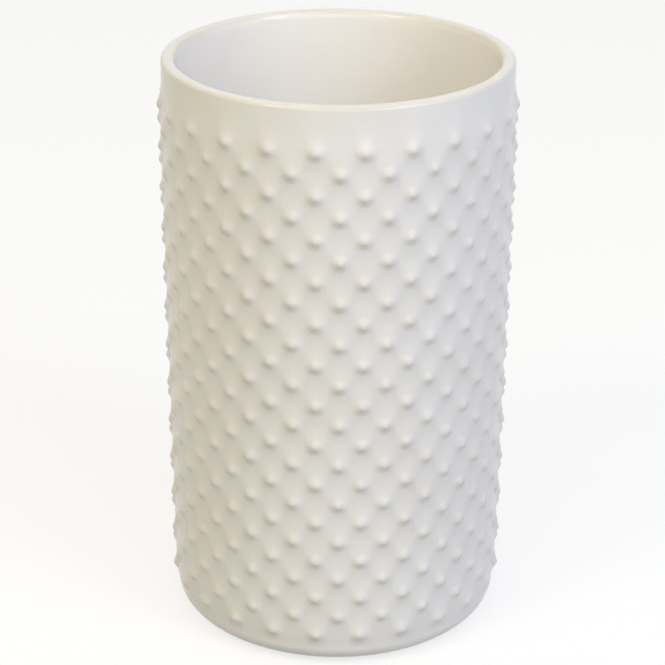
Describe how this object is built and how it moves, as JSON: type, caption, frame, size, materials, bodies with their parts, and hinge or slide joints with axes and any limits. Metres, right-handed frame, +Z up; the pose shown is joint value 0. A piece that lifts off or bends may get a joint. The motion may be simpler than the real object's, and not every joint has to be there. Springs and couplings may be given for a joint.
{
  "type": "bathroom tumbler",
  "caption": "Straight, slightly tapered glazed ceramic tumbler with a plain lip, a wall covered in staggered raised hobnails and soft non-slip pads under its foot ring.",
  "frame": {"origin": "centre of the surface that the pads stand on, under the middle of the tumbler", "axes": "+Z up along the tumbler's axis, -Y towards the front, a column of hobnails on -Y"},
  "size_m": [0.0722, 0.0722, 0.12],
  "materials": {
    "glaze": "glossy off-white glaze over white earthenware",
    "silicone": "clear soft silicone with a satin face"
  },
  "bodies": {
    "root": {"tumbler_body": "glaze", "foot_pad_1": "silicone", "foot_pad_2": "silicone", "foot_pad_3": "silicone", "foot_pad_4": "silicone"}
  },
  "joints": []
}
